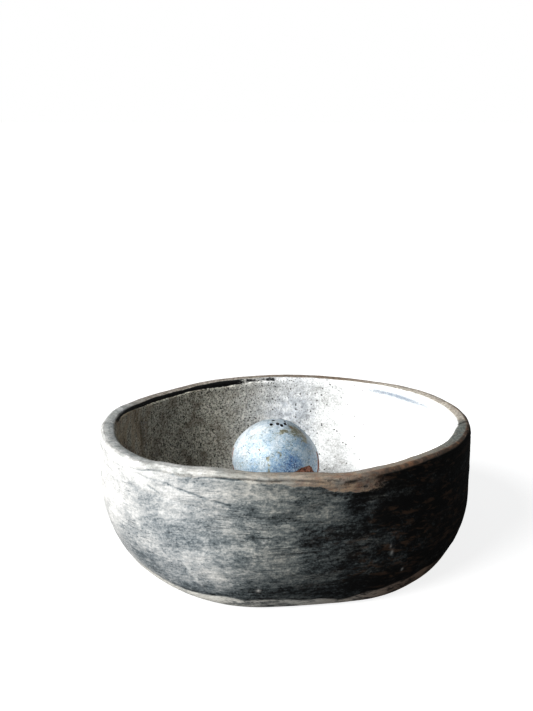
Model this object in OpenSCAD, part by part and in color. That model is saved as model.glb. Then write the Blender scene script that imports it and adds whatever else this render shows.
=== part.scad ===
// Hand-built stoneware bowl for a ball of yarn, with a loose glazed ball in it.
// Millimetres, +Z up. The origin is under the middle of the bowl, on the
// surface that it stands on. -Y is the front.

/* [Bowl plan] */
// Mean outer radius of the bowl
rim_r = 74.3; // [60:0.1:90]
// How far the oval plan is stretched along its long axis and drawn in across it
oval = 1.8; // [0:0.1:4]
// Direction of the oval's long axis, in degrees from +X
oval_dir = 31; // [0:1:90]
// Three-cornered unevenness of the plan
tri = 1.0; // [0:0.1:2]
// Direction of one of the three corners, in degrees from +X
tri_dir = 36; // [0:1:119]

/* [Bowl height] */
// Mean height of the rim
rim_h = 51.8; // [51.5:0.1:60]
// How much the rim rises to the front and drops to the back
front_rise = 1.0; // [0:0.1:2]
// How much the rim dips at the two sides
saddle = 1.1; // [0:0.1:2]

// Share of the hand-made unevenness that is kept in the rim and the foot
unevenness = 1.0; // [0:0.1:1.2]

/* [Walls] */
// Thickness of the wall
wall_t = 5.6; // [4.5:0.1:7]
// Thickness of the base slab
base_t = 6; // [5:0.1:8]
// How far the foot is drawn in under the widest part of the wall
foot_inset = 9.2; // [6:0.1:12]
// How much more the foot is drawn in on one side than the other
foot_shift = 1.3; // [0:0.1:1.5]
// Direction of the side where the foot is drawn in most
foot_dir = 215; // [0:1:359]
// Height at which the wall has become upright
belly_h = 30; // [28:1:30]
// How much higher that is on one side and lower on the other
belly_shift = 3.5; // [0:0.1:4]
// Direction of the side where it is highest
belly_dir = 190; // [0:1:359]
// Roundness of the foot's bottom edge
foot_edge = 1.4; // [0.6:0.1:2]
// Mean height of the slanting joint between the two wall strips
seam_h = 37; // [37:0.1:38]
// How far the joint climbs and falls as it goes round
seam_slope = 5.5; // [0:0.1:6]
// Direction in which the joint is highest
seam_dir = 190; // [0:1:359]

/* [Rim and inner corner] */
// Height of the coil laid on top of the wall
rim_band = 5; // [4:0.1:5.5]
// Thickness of the rim coil
rim_t = 6.0; // [5.6:0.1:7]
// Roundness of the rim's outer edge
rim_edge_out = 2.2; // [1.5:0.1:2.6]
// Roundness of the rim's inner edge
rim_edge_in = 1.4; // [0.8:0.1:2]
// How far the coil overhangs the wall inside, where it overhangs most
rim_lip = 0.9; // [0:0.1:1.2]
// Direction of the deepest overhang
rim_lip_dir = 125; // [0:1:359]
// Height and width of the coil smoothed into the inner corner
corner = 12; // [8:0.5:13]

/* [Ball] */
// Radius of the ball
ball_r = 19.1; // [16:0.1:20]
// Thickness of the ball's wall
ball_wall = 4; // [3:0.1:6]
// Depth of the flat that the ball stands on
ball_flat = 0.7; // [0.3:0.1:1]
// Ball centre to the right of the bowl's middle
ball_x = -4.5; // [-8:0.1:8]
// Ball centre behind the bowl's middle
ball_y = 25; // [0:0.1:26]
// Diameter of the pin holes in the ball
pin_hole_d = 1.1; // [0.8:0.1:1.5]

/* [Hidden] */

step = 4;                       // degrees between two rings of points
ANG = [for (a = [0 : step : 359]) a];

// Hand-made unevenness as [direction, millimetres] pairs, eased in between:
// the rim's rise and fall, the foot's bulge, and the rim's extra thickness.
RISE = [[0, 0.4], [35, 0.4], [65, -0.3], [90, 0], [115, 0.1], [140, -0.6], [155, -0.4],
        [168, 0.5], [185, 0.2], [205, -1], [222, -1.1], [236, -0.1], [250, 0.9], [262, 0.3],
        [274, 0.4], [287, -0.8], [300, 0.1], [318, 1], [345, 0.8], [360, 0.4]];
BULGE = [[0, 0], [190, 0], [215, -0.8], [250, 1.4], [278, -1.5], [305, 1.5], [320, 0.8],
         [345, 0], [360, 0]];
THICKER = [[0, 0.9], [20, 0.3], [60, 0], [200, 0], [330, 0.3], [350, 1.2], [360, 0.9]];
function uneven(t, a) = let (b = a - 360 * floor(a / 360),
    k = max([for (i = [0 : len(t) - 2]) t[i][0] <= b ? i : 0]),
    f = (b - t[k][0]) / (t[k + 1][0] - t[k][0]))
    unevenness * (t[k][1] + (t[k + 1][1] - t[k][1]) * (0.5 - 0.5 * cos(180 * f)));

// outer plan radius of the bowl in the direction a
function plan_r(a) = rim_r + oval * cos(2 * (a - oval_dir)) + tri * cos(3 * (a - tri_dir));
// middle of the plan's box, which is put on the origin
xs = [for (a = ANG) plan_r(a) * cos(a)];
ys = [for (a = ANG) plan_r(a) * sin(a)];
mid = [(max(xs) + min(xs)) / 2, (max(ys) + min(ys)) / 2];

// top of the rim, and the flat under the rim coil
function rim_z(a) = rim_h - front_rise * sin(a) - saddle * cos(2 * a) + uneven(RISE, a);
function coil_z(a) = rim_z(a) - rim_band;
// slanting joint between the wall strips
function seam_z(a) = seam_h + seam_slope * cos(a - seam_dir);

// height at which the wall has become upright, and its inset below that
function belly(a) = belly_h + belly_shift * cos(a - belly_dir);
function drawn_in(a, z) = z >= belly(a) ? 0 :
    (foot_inset + foot_shift * cos(a - foot_dir)) * pow(1 - z / belly(a), 2.4)
    - uneven(BULGE, a) * pow(1 - z / belly(a), 1.2);
function out_r(a, z) = plan_r(a) - drawn_in(a, z);
function in_r(a, z) = out_r(a, z) - wall_t;

// overhang of the rim coil inside the wall
function lip(a) = rim_lip * (0.5 + 0.5 * cos(a - rim_lip_dir));

base_z = base_t;
corner_z = base_t + corner;

// Sweeps a cross-section round the bowl. secs holds one list of [r, z] for
// each direction, all of one length, going round against the clock. Where two
// pieces share a face, the same diagonal is picked on both.
module swept(secs) {
    n = len(ANG);
    m = len(secs[0]);
    pts = [for (i = [0 : n - 1], j = [0 : m - 1])
        [secs[i][j][0] * cos(ANG[i]) - mid[0], secs[i][j][0] * sin(ANG[i]) - mid[1], secs[i][j][1]]];
    function key(i, j) = secs[i][j][0] + 0.37 * secs[i][j][1];
    faces = [for (i = [0 : n - 1], j = [0 : m - 1])
        let (i2 = (i + 1) % n, j2 = (j + 1) % m,
             a = i * m + j, b = i * m + j2, c = i2 * m + j2, d = i2 * m + j)
        each (key(i, j) > key(i, j2) ? [[a, b, c], [a, c, d]] : [[a, b, d], [b, c, d]])];
    polyhedron(points = pts, faces = faces);
}

// heights at which the wall has points, below its upright part
function low_z(a) = [for (k = [0 : 7]) base_z + (belly(a) - base_z) * k / 7];
corner_wall_z = [for (k = [0 : 3]) base_z + corner * k / 3];

module base_slab() {
    n = len(ANG);
    rows = [0, foot_edge * 0.35, foot_edge, base_z / 2, base_z];
    function row_r(a, z) = out_r(a, z) - (z >= foot_edge ? 0 : foot_edge * pow(1 - z / foot_edge, 1.6));
    m = len(rows);
    pts = [for (j = [0 : m - 1], a = ANG)
        [row_r(a, rows[j]) * cos(a) - mid[0], row_r(a, rows[j]) * sin(a) - mid[1], rows[j]]];
    side = [for (j = [0 : m - 2], i = [0 : n - 1])
        let (i2 = (i + 1) % n, a = j * n + i, b = j * n + i2, c = (j + 1) * n + i2, d = (j + 1) * n + i)
        each [[a, c, b], [a, d, c]]];
    color([0.52, 0.53, 0.53])
        polyhedron(points = pts, faces = concat([[for (i = [0 : n - 1]) i]], side,
            [[for (i = [n - 1 : -1 : 0]) (m - 1) * n + i]]));
}

module lower_wall_strip() {
    color([0.42, 0.44, 0.46])
        swept([for (a = ANG) concat(
            [for (z = low_z(a)) [out_r(a, z), z]],
            [[out_r(a, seam_z(a)), seam_z(a)], [in_r(a, seam_z(a)), seam_z(a)]],
            [for (f = [1, 0.5]) let (z = corner_z + f * (belly(a) - corner_z)) [in_r(a, z), z]],
            [for (k = [3 : -1 : 0]) [in_r(a, corner_wall_z[k]), corner_wall_z[k]]])]);
}

module upper_wall_strip() {
    color([0.48, 0.50, 0.52])
        swept([for (a = ANG) [
            [out_r(a, seam_z(a)), seam_z(a)], [out_r(a, coil_z(a)), coil_z(a)],
            [in_r(a, coil_z(a)), coil_z(a)], [in_r(a, seam_z(a)), seam_z(a)]]]);
}

module rim_coil() {
    color([0.66, 0.61, 0.54])
        swept([for (a = ANG)
            let (ro = plan_r(a), ri = ro - rim_t - lip(a) - max(0, uneven(THICKER, a)), z1 = rim_z(a),
                 eo = rim_edge_out, ei = rim_edge_in)
            concat([[ro, coil_z(a)]],
                [for (t = [0 : 30 : 90]) [ro - eo + eo * cos(t), z1 - eo + eo * sin(t)]],
                [for (t = [90 : 30 : 180]) [ri + ei + ei * cos(t), z1 - ei + ei * sin(t)]],
                [[ri + 0.3, coil_z(a) + 1.2], [in_r(a, coil_z(a)), coil_z(a)]])]);
}

module inner_corner_coil() {
    blunt = 0.4;                // thickness of the coil where it ends on wall and floor
    color([0.80, 0.80, 0.78])
        swept([for (a = ANG)
            let (rw = in_r(a, corner_z) - blunt, rf = in_r(a, base_z) - corner,
                 zt = corner_z, zb = base_z + blunt)
            concat([for (z = corner_wall_z) [in_r(a, z), z]],
                [for (t = [0 : 15 : 90]) [rf + (rw - rf) * cos(t), zt - (zt - zb) * sin(t)]],
                [[rf, base_z]])]);
}

// directions of the pin holes: angle from the top, angle round the ball
PINS = [[3, 172], [13, 246], [11, 286], [16, 302], [17, 65], [13, 359], [15, 328], [21, 138]];
ball_z = base_t + ball_r - ball_flat;

module ball_shell(lower) {
    translate([ball_x, ball_y, ball_z]) difference() {
        sphere(r = ball_r, $fn = 96);
        sphere(r = ball_r - ball_wall, $fn = 96);
        // cut at the joint round the middle
        translate([-30, -30, lower ? 0 : -60]) cube([60, 60, 60]);
        // flat that the ball stands on
        translate([-30, -30, -ball_r + ball_flat - 60]) cube([60, 60, 60]);
        if (!lower) for (p = PINS)
            rotate([0, p[0], p[1]]) translate([0, 0, ball_r - ball_wall - 2])
                cylinder(d = pin_hole_d, h = ball_wall + 4, $fn = 24);
    }
}

module ball_lower_half() { color([0.50, 0.60, 0.72]) ball_shell(true); }
module ball_upper_half() { color([0.66, 0.76, 0.86]) ball_shell(false); }

base_slab();
lower_wall_strip();
upper_wall_strip();
rim_coil();
inner_corner_coil();
ball_lower_half();
ball_upper_half();
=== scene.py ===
import math

import bpy
import numpy as np
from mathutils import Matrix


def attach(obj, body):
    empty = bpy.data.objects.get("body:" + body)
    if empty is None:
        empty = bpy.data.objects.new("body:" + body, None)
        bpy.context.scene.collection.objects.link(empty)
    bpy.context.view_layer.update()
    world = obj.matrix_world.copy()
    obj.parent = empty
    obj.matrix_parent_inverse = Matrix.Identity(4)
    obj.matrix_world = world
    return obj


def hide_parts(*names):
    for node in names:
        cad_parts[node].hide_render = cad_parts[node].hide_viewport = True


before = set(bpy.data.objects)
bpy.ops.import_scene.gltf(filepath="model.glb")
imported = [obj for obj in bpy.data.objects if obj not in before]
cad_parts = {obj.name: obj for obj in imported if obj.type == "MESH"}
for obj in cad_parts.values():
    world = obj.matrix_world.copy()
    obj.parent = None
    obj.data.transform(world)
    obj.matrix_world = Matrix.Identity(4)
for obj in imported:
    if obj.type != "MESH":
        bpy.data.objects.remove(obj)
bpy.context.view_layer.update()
scene = bpy.context.scene

# --------------------------------------------------------------------------
# The bowl's shape: the construction model's curves, in millimetres and degrees
# --------------------------------------------------------------------------
N = 720                                   # segments round the bowl
A = np.arange(N) * 360.0 / N

RISE = [(0, 0.4), (35, 0.4), (65, -0.3), (90, 0), (115, 0.1), (140, -0.6), (155, -0.4),
        (168, 0.5), (185, 0.2), (205, -1), (222, -1.1), (236, -0.1), (250, 0.9), (262, 0.3),
        (274, 0.4), (287, -0.8), (300, 0.1), (318, 1), (345, 0.8), (360, 0.4)]
BULGE = [(0, 0), (190, 0), (215, -0.8), (250, 1.4), (278, -1.5), (305, 1.5), (320, 0.8),
         (345, 0), (360, 0)]
THICKER = [(0, 0.9), (20, 0.3), (60, 0), (200, 0), (330, 0.3), (350, 1.2), (360, 0.9)]
WALL, BASE, CORNER = 5.6, 6.0, 12.0
MIDX, MIDY = -0.19, -0.89
BALL_C, BALL_R, BALL_FLAT = np.array([-4.5, 25.0, 24.4]), 19.1, 0.7
PINS = [(3, 172), (13, 246), (11, 286), (16, 302), (17, 65), (13, 359), (15, 328), (21, 138)]


def cosd(a):
    return np.cos(np.radians(a))


def sind(a):
    return np.sin(np.radians(a))


def eased(t, a):
    """Value at direction a from [direction, value] pairs, eased in between."""
    a = np.asarray(a, float) % 360
    xs = np.array([p[0] for p in t], float)
    ys = np.array([p[1] for p in t], float)
    k = np.clip(np.searchsorted(xs, a, side="right") - 1, 0, len(xs) - 2)
    f = (a - xs[k]) / (xs[k + 1] - xs[k])
    return ys[k] + (ys[k + 1] - ys[k]) * (0.5 - 0.5 * np.cos(np.pi * f))


def plan_r(a):
    return 74.3 + 1.8 * cosd(2 * (a - 31)) + 1.0 * cosd(3 * (a - 36))


def rim_z(a):
    return 51.8 - sind(a) - 1.1 * cosd(2 * a) + eased(RISE, a)


def coil_z(a):
    return rim_z(a) - 5


def seam_z(a):
    return 37 + 5.5 * cosd(a - 190)


def belly(a):
    return 30 + 3.5 * cosd(a - 190)


def out_r(a, z):
    f = np.clip(1 - z / belly(a), 0, 1)
    return plan_r(a) - (9.2 + 1.3 * cosd(a - 215)) * f ** 2.4 + eased(BULGE, a) * f ** 1.2


def smooth(x, lo, hi):
    t = np.clip((x - lo) / (hi - lo), 0, 1)
    return t * t * (3 - 2 * t)


def near_dir(a, a0, w):
    d = (a - a0 + 180) % 360 - 180
    return np.exp(-(d / w) ** 2)


def blob(a, z, a0, z0, wa, wz, tilt=0.0):
    """Soft patch round (direction a0, height z0), sizes in mm, tilt in mm of height per mm round."""
    d = ((a - a0 + 180) % 360 - 180) * 1.297
    return np.exp(-(d / wa) ** 2 - ((z - z0 - tilt * d) / wz) ** 2)


def stroke(a, z, pts, w, fade=0.0):
    """Line of half width w mm through (direction, height) points."""
    best = np.full(np.broadcast(a, z).shape, 1e9)
    u = ((a - pts[0][0] + 180) % 360 - 180) * 1.297
    for (a0, z0), (a1, z1) in zip(pts[:-1], pts[1:]):
        x0, x1 = (a0 - pts[0][0]) * 1.297, (a1 - pts[0][0]) * 1.297
        dx, dz = x1 - x0, z1 - z0
        t = np.clip(((u - x0) * dx + (z - z0) * dz) / (dx * dx + dz * dz), 0, 1)
        best = np.minimum(best, np.hypot(u - x0 - t * dx, z - z0 - t * dz))
    return np.exp(-(best / w) ** 2)


def _lattice(ix, iy, iz, seed):
    h = (ix * 73856093) ^ (iy * 19349663) ^ (iz * 83492791) ^ (seed * 40503)
    h = (h & 0xFFFFFFFF).astype(np.uint64)
    h = ((h ^ (h >> np.uint64(15))) * np.uint64(2246822519)) & np.uint64(0xFFFFFFFF)
    h = ((h ^ (h >> np.uint64(13))) * np.uint64(3266489917)) & np.uint64(0xFFFFFFFF)
    h = h ^ (h >> np.uint64(16))
    return (h & np.uint64(0xFFFF)).astype(float) / 32767.5 - 1


def noise(x, y, z, seed):
    """Smooth noise from -1 to 1 with cells one unit wide."""
    ix, iy, iz = (np.floor(v).astype(np.int64) for v in (x, y, z))
    fx, fy, fz = x - ix, y - iy, z - iz
    fx, fy, fz = (f * f * f * (f * (f * 6 - 15) + 10) for f in (fx, fy, fz))
    out = 0
    for cx in (0, 1):
        for cy in (0, 1):
            for cz in (0, 1):
                w = (fx if cx else 1 - fx) * (fy if cy else 1 - fy) * (fz if cz else 1 - fz)
                out = out + w * _lattice(ix + cx, iy + cy, iz + cz, seed)
    return out


def layered(x, y, z, seed, layers=3):
    out, amp, k = 0, 1.0, 1.0
    for i in range(layers):
        out = out + amp * noise(x * k + 7.3 * i, y * k - 3.1 * i, z * k + 1.7 * i, seed + i)
        amp, k = amp * 0.5, k * 2.03
    return out / 1.6


# Crease where the rim coil was smoothed down on the wall, as (direction, mm below
# the rim's top) pairs, and how deep it is
CREASE = [(0, 4.2), (30, 4.6), (60, 4.4), (100, 4.8), (140, 5.2), (180, 5.2), (205, 4.9),
          (212, 4.4), (220, 3.1), (233, 2.4), (246, 2.6), (253, 2.0), (263, 1.8), (270, 2.1),
          (278, 2.4), (290, 2.6), (303, 3.0), (320, 3.0), (332, 2.4), (345, 2.8), (360, 4.2)]
CREASE_DEEP = [(0, 0.24), (20, 0.15), (70, 0.2), (120, 0.15), (160, 0.16), (185, 0.06), (205, 0.02), (214, 0.04),
               (226, 0.15), (236, 0.16), (244, 0.12), (252, 0.3), (264, 0.34), (274, 0.30), (284, 0.10), (300, 0.08),
               (325, 0.08), (345, 0.2), (360, 0.24)]
# Lower edge of the wiped band, mm below the rim's top, and how clearly it shows
BAND_LOW = [(0, 3.6), (30, 4.4), (60, 4.4), (100, 4.8), (140, 5.0), (180, 4.6), (205, 4.4), (212, 4.2), (220, 3.1),
            (233, 2.4), (246, 2.6), (254, 2.2), (264, 2.5), (272, 3.5), (280, 4.0), (286, 5.4), (290, 6.4), (294, 6.9),
            (300, 6.2), (306, 5.2), (312, 4.3), (320, 3.3), (330, 2.2), (345, 2.6), (360, 3.6)]
BAND_ON = [(0, 0.0), (20, 0.1), (60, 0.5), (100, 0.8), (150, 0.8), (180, 0.3), (195, 0.0), (214, 0.05), (227, 0.5),
           (240, 0.9), (255, 1), (289, 1), (293, 0.75), (297, 0.40), (301, 0.18), (306, 0.06), (340, 0), (360, 0)]
SCRATCH_1 = [(211, 46.0), (217, 46.7), (222, 47.1), (228, 46.8), (236, 46.7)]
SCRATCH_2 = [(228.5, 43.7), (230.6, 43.2), (233, 42.2)]
SCRATCH_3 = [(236, 46.4), (240, 45.9), (243, 45.3), (246, 44.6), (250, 43.8), (254, 42.9), (259, 42.5)]
CHIP = [(240.6, 17.6), (241.7, 16.1), (242.2, 14.2), (243.7, 12.6), (244.2, 10.8), (245.4, 9.4)]
FOOT_BAND = [(0, 6.6), (40, 5.0), (90, 4.4), (140, 5.2), (200, 4.2), (236, 4.0), (251, 5.4),
             (262, 5.0), (276, 4.6), (288, 3.4), (297, 5.6), (308, 6.2), (320, 7.0), (340, 6.2),
             (360, 6.6)]


def xyz(a, r):
    return r * cosd(a), r * sind(a)


def dents(a, z, r):
    """Finger dents and scraping marks left in the clay, in mm, below zero is inward."""
    x, y = xyz(a, r)
    d = 0.02
    d = d + 0.30 * layered(x / 24, y / 24, z / 17, 11, 2)
    d = d + 0.16 * layered(x / 8.5, y / 8.5, z / 3.6, 23, 2)
    d = d + 0.07 * noise(x / 5, y / 5, z / 1.5, 31)
    return d


def room(a, r):
    """How far a point may move outward before it would leave the construction model's box."""
    x, y = np.abs(r * cosd(a) - MIDX), np.abs(r * sind(a) - MIDY)
    gx = (75.20 - x) / np.maximum(np.abs(cosd(a)), 0.05)
    gy = (73.46 - y) / np.maximum(np.abs(sind(a)), 0.05)
    return np.minimum(gx, gy)


def thready(a, z):
    """Breaks a drawn line up, so that it comes and goes."""
    return smooth(noise(a / 2.1, z / 3.0, 0 * a + 2, 141), -0.7, 0.5)


def out_relief(a, z, r):
    """Everything that shapes the outside, in mm along the surface's normal."""
    d = dents(a, z, r)
    below = rim_z(a) - z
    c = eased(CREASE, a)
    wob = 0.25 * noise(a / 5.0, 0 * a, 0 * a + 3, 71)
    d = d - eased(CREASE_DEEP, a) * np.exp(-((below - c - wob) / 0.5) ** 2)
    d = d + 0.10 * smooth(below, c + 1.4, c - 0.2) * smooth(eased(CREASE_DEEP, a), 0.03, 0.12)
    # slanting joint between the strips, only half smoothed away
    sz = seam_z(a) + 0.7 * noise(a / 9.0, 0 * a, 0 * a, 77)
    d = d - 0.16 * np.exp(-((z - sz) / 0.7) ** 2) * smooth(noise(a / 14.0, 0 * a, 0 * a + 9, 5), -0.5, 0.6)
    for pts, deep in ((SCRATCH_1, 0.12), (SCRATCH_2, 0.12), (SCRATCH_3, 0.16)):
        d = d - deep * stroke(a, z, pts, 0.45) * thready(a, z)
    d = d + 0.30 * stroke(a, z, CHIP, 0.9) - 0.30 * stroke(a, z, [(p[0] + 1.3, p[1]) for p in CHIP], 0.9)
    # foot: wiped, so it steps in a little under a soft edge
    fb = eased(FOOT_BAND, a) + 0.4 * noise(a / 6.0, 0 * a, 0 * a + 5, 41)
    d = d - 0.22 * smooth(z, fb + 0.5, fb - 0.5)
    d = d - 0.18 * np.exp(-((z - fb - 0.4) / 0.5) ** 2)
    return np.minimum(d, room(a, r))


GROOVE_ON = [(0, 0), (92, 0), (104, 0.3), (113, 0.9), (120, 1), (156, 1), (172, 0.85), (187, 0), (360, 0)]
GROOVE_AT = [(0, 1.4), (100, 1.3), (108, 1.5), (116, 1.8), (123, 1.3), (135, 0.95), (148, 1.15), (162, 1.0), (175, 0.9), (360, 1.2)]


def lip(a):
    return 0.9 * (0.5 + 0.5 * cosd(a - 125))


def overhang(a):
    return 0.4 + lip(a) + np.maximum(0, eased(THICKER, a))


def in_relief(a, z, r):
    """The glazed inside is smoother. Above zero is toward the bowl's middle."""
    x, y = xyz(a, r)
    d = 0.20 * layered(x / 19, y / 19, z / 13, 51, 2) + 0.05 * noise(x / 5, y / 5, z / 4, 57)
    d = d + 0.08 * noise(x / 11, y / 11, z / 1.9, 59)
    return d


def fillet(a, z):
    """The coil's overhang runs out gently down the inner wall."""
    return 0.62 * overhang(a) * np.exp(-np.clip(coil_z(a) - z, 0, None) / 3.4)


def outer(a, z):
    r = out_r(a, z)
    return r + out_relief(a, z, r)


def inner(a, z):
    r = out_r(a, z) - WALL
    return r - in_relief(a, z, r) - fillet(a, z)


# --------------------------------------------------------------------------
# Where each finish lies, as soft masks kept on the points of the meshes
# --------------------------------------------------------------------------
# wash density round the bowl: partly the real wash, partly painted shade, pale on the lit left and near black on the
# shaded right
WASH_AND_SHADE = [(0, 0.95), (30, 0.84), (65, 0.68), (100, 0.58), (140, 0.48), (168, 0.30), (190, 0.12),
        (208, 0.10), (220, 0.185), (232, 0.32), (245, 0.45), (257, 0.49), (270, 0.545), (280, 0.67),
        (290, 0.845), (300, 0.95), (312, 1.01), (340, 1.03), (360, 0.95)]


def wash_and_shade_map(a, z):
    m = eased(WASH_AND_SHADE, a)
    # dark drifts
    m = m + 0.16 * blob(a, z, 268, 9, 26, 4.5) + 0.14 * blob(a, z, 285, 9, 22, 5) + 0.12 * blob(a, z, 246, 6.5, 16, 2.2)
    m = m + 0.08 * blob(a, z, 231, 31, 14, 7, -0.25) + 0.07 * blob(a, z, 243, 26, 14, 5, -0.2)
    m = m + 0.10 * blob(a, z, 263, 30, 9, 4) + 0.34 * blob(a, z, 261, 32, 1.8, 1.4) + 0.16 * blob(a, z, 258, 35.4, 2.4, 0.9)
    m = m + 0.16 * blob(a, z, 262, 41, 6, 1.6, -0.1) + 0.10 * blob(a, z, 268, 38, 8, 1.6, -0.1) + 0.14 * blob(a, z, 265, 44, 14, 2.2)
    m = m + 0.10 * blob(a, z, 219, 25, 9, 7, -0.3) + 0.07 * blob(a, z, 276, 33, 5, 8) + 0.08 * blob(a, z, 281, 27, 7, 7)
    m = m + 0.12 * blob(a, z, 222, 41.5, 12, 1.8, -0.3) + 0.16 * blob(a, z, 258, 22, 8, 4) + 0.20 * blob(a, z, 277, 20, 5, 4)
    m = m + 0.10 * blob(a, z, 283, 46, 6, 1.2) + 0.05 * blob(a, z, 293, 37, 9, 9) + 0.12 * blob(a, z, 250, 29, 6, 3)
    # painted shade: the three patches low on the left, under the belly
    m = m + 0.12 * blob(a, z, 217, 16, 12, 8, -0.2) + 0.18 * blob(a, z, 207, 12, 16, 8) + 0.16 * blob(a, z, 225, 11, 10, 5)
    # rubbed back to pale clay
    m = m - 0.18 * blob(a, z, 245, 19, 8, 6, -0.3) - 0.10 * blob(a, z, 251, 14, 5, 3) - 0.07 * blob(a, z, 236, 17, 9, 4, -0.3)
    m = m - 0.06 * blob(a, z, 272, 24, 5, 4) - 0.15 * blob(a, z, 280, 15, 8, 4) - 0.10 * blob(a, z, 253, 8, 6, 2.5)
    m = m - 0.06 * blob(a, z, 280, 43, 9, 4) - 0.07 * blob(a, z, 296, 41, 5, 2.6) - 0.24 * blob(a, z, 303, 19, 7, 3.2) - 0.22 * blob(a, z, 314, 22, 9, 3, 0.15)
    m = m - 0.14 * blob(a, z, 291, 28, 5, 3.4) - 0.10 * blob(a, z, 299, 27, 7, 3) - 0.10 * blob(a, z, 265, 34, 5, 2.6)
    m = m - 0.20 * blob(a, z, 242, 40, 12, 5.5, -0.1) - 0.08 * blob(a, z, 238, 34, 9, 3, -0.2) - 0.10 * blob(a, z, 251, 47, 9, 2)
    m = m - 0.10 * smooth(z, 40, 46) * eased([(0, 0), (200, 0), (220, 1), (250, 0.8), (268, 0.4), (284, 0), (360, 0)], a)
    return m


def out_masks(a, z):
    below = rim_z(a) - z
    c = eased(CREASE, a) + 0.25 * noise(a / 5.0, 0 * a, 0 * a + 3, 71)
    bl = eased(BAND_LOW, a) + 0.35 * noise(a / 4.0, 0 * a, 0 * a + 3, 73) + 0.5 * noise(a / 1.7, z / 1.6, 0 * a + 3, 75)
    fb = eased(FOOT_BAND, a) + 0.4 * noise(a / 6.0, 0 * a, 0 * a + 5, 41)
    ink = eased(CREASE_DEEP, a) * 2.0 * np.exp(-((below - c) / 0.33) ** 2)
    ink = ink * (0.55 + 0.45 * smooth(noise(a / 3.0, 0 * a, 0 * a + 1, 91), -0.5, 0.3))
    for pts, k in ((SCRATCH_1, 0.26), (SCRATCH_2, 0.24), (SCRATCH_3, 0.44)):
        ink = np.maximum(ink, k * stroke(a, z, pts, 0.36) * thready(a, z))
    ink = np.maximum(ink, 0.95 * stroke(a, below, [(286, 2.0), (290, 1.8), (296, 2.3), (300, 2.9)], 0.5) * thready(a, z))
    ink = np.maximum(ink, 0.4 * np.exp(-((z - fb - 0.5) / 0.45) ** 2) * thready(a, z))
    # painted shadow: a dark line just under the wiped band's lower edge at the front right, added to the dark-line mask
    band_shadow = eased([(0, 0), (270, 0), (278, 0.26), (288, 0.36), (294, 0.3), (300, 0), (360, 0)], a)
    ink = np.maximum(ink, band_shadow * np.exp(-((below - bl - 0.9) / 0.45) ** 2) * (0.35 + 0.65 * thready(a * 1.6, z)))
    return {
        "wash_and_shade": wash_and_shade_map(a, z),
        "warm": smooth(eased([(0, 1), (60, 0.7), (120, 0.5), (180, 0.1), (240, 0), (280, 0.25), (300, 0.8), (360, 1)], a), 0, 1),
        "ink": np.clip(ink, 0, 1),
        "band": eased(BAND_ON, a) * smooth(below, bl + 0.8, bl - 0.5),
        "foot": smooth(z, fb + 0.5, fb - 0.4),
        # pale marks: the long stroke is a real chip, the small round spots are painted glints
        "chip_and_glint": np.clip(0.5 * stroke(a, z, CHIP, 0.8) * (0.3 + 0.7 * thready(a * 2, z * 3)) + blob(a, z, 262, 10, 0.7, 0.6) + blob(a, z, 306, 12.8, 0.5, 0.5)
                        + 0.62 * blob(a, z, 301, 21.4, 0.6, 0.8) + 0.45 * blob(a, z, 300.5, 24, 0.45, 0.7)
                        + 0.6 * blob(a, z, 264, 30, 0.7, 0.5), 0, 1),
        "inside": np.zeros(np.broadcast(a, z).shape),
    }


def in_masks(a, z):
    below = rim_z(a) - z
    shape = np.broadcast(a, z).shape
    groove_on = eased(GROOVE_ON, a)
    low = eased(GROOVE_AT, a) + eased([(0, 0.6), (104, 0.6), (122, 0.72), (138, 0.56), (150, 0.36), (165, 0.26), (187, 0.15), (360, 0.6)], a)
    low = low + 0.30 * noise(a / 4.0, 0 * a, 0 * a, 151) + 0.16 * noise(a / 1.1, below / 1.4, 0 * a, 153)
    groove = groove_on * smooth(below, low + 0.45, low - 0.40)
    dab = 0.62 * blob(a, below, 95.5, 0.9, 1.8, 0.9) + 0.34 * blob(a, below, 106, 2.3, 7, 0.9) + 0.42 * blob(a, below, 101, 0.9, 4.5, 0.8)
    line = 0.62 * stroke(a, below, [(122, 0.5), (110, 0.6), (104, 0.8), (94.5, 0.9)], 0.8) * (0.45 + 0.55 * smooth(noise(a / 1.3, below / 0.9, 0 * a + 4, 147), -0.5, 0.2))
    return {
        "wash_and_shade": 0.2 + 0 * z,
        "warm": np.zeros(shape),
        "ink": np.clip(np.maximum(np.maximum(groove, dab), line) + 0 * z, 0, 1),
        "band": np.zeros(shape),
        "foot": np.zeros(shape),
        "chip_and_glint": np.zeros(shape),
        "inside": np.ones(shape),
        "smudge": np.clip(eased([(0, 0), (20, 0.30), (30, 0.55), (41, 0.85), (52, 0.75), (58, 0.5), (70, 0)], a)
                          * stroke(a, below, [(58, 2.9), (51, 3.2), (45, 3.6), (40, 4.0), (34, 4.1), (28, 3.9), (22, 3.3)], 1.7), 0, 1),
    }


def slant(a, z):
    """Height with a slow lean, so that brush marks don't run level all the way round."""
    return z + 3.2 * sind(2 * a + 40) + 1.7 * sind(3 * a + 200) + 0.8 * sind(7 * a)


MASKS = ("wash_and_shade", "warm", "ink", "band", "foot", "chip_and_glint", "inside", "smudge", "lean", "topside", "moss", "upper")


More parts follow.
